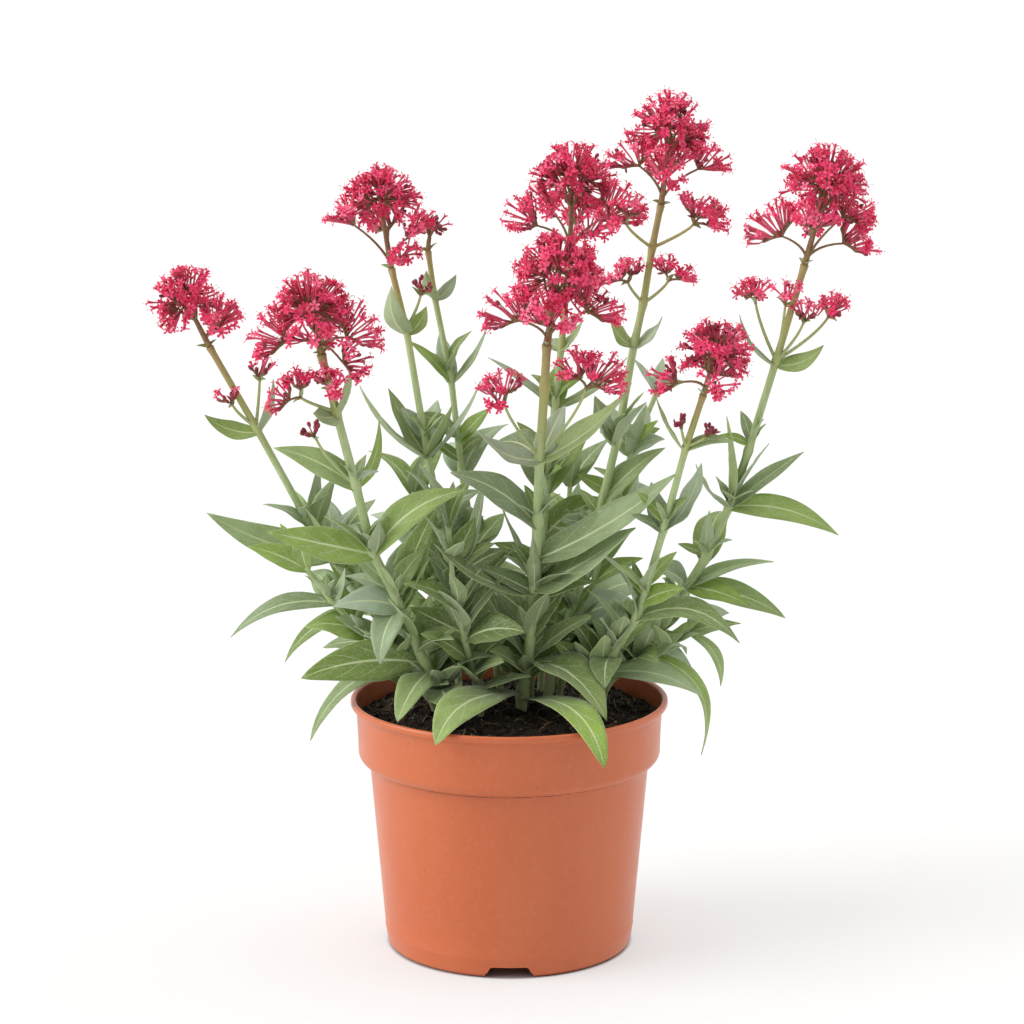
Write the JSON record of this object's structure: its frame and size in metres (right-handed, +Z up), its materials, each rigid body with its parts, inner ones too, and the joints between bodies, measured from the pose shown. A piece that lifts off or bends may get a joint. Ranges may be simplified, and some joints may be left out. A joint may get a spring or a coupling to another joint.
{
  "type": "potted red valerian",
  "caption": "Flowering red valerian with upright leafy stems and crimson flower heads, rooted in soil in a round terracotta-coloured plastic nursery pot",
  "frame": {"origin": "the middle of the pot's underside, on the surface that it stands on; the plant's box is centred on it within 3 mm", "axes": "+Z up the pot, the front of the plant faces -Y, +X to the viewer's right"},
  "size_m": [0.3356, 0.1607, 0.4023],
  "materials": {
    "pot": "satin",
    "soil": "matte",
    "leaf": "matte",
    "flower": "matte"
  },
  "bodies": {
    "root": {"pot": "pot", "soil": "soil", "head_far_left": "flower", "cluster_far_left_1": "flower", "cluster_far_left_2": "flower", "head_left": "flower", "cluster_left_1": "flower", "cluster_left_2": "flower", "cluster_left_3": "flower", "head_left_back": "flower", "cluster_left_back_1": "flower", "head_centre_left_back": "flower", "head_centre_back": "flower", "head_centre": "flower", "cluster_centre_1": "flower", "cluster_centre_2": "flower", "head_right_centre": "flower", "cluster_right_centre_1": "flower", "cluster_right_centre_2": "flower", "cluster_right_centre_3": "flower", "cluster_right_centre_4": "flower", "head_right": "flower", "cluster_right_1": "flower", "cluster_right_2": "flower", "head_far_right": "flower", "cluster_far_right_1": "flower", "cluster_far_right_2": "flower", "cluster_far_right_3": "flower", "cluster_far_right_4": "flower", "stem_far_left": "leaf", "stem_left": "leaf", "stem_left_back": "leaf", "stem_centre_left_back": "leaf", "stem_centre_back": "leaf", "stem_centre": "leaf", "stem_right_centre": "leaf", "stem_right": "leaf", "stem_far_right": "leaf", "shoot_left": "leaf", "shoot_middle": "leaf", "shoot_right_back": "leaf", "shoot_right_low": "leaf", "shoot_back": "leaf", "shoot_back_right": "leaf"}
  },
  "joints": []
}
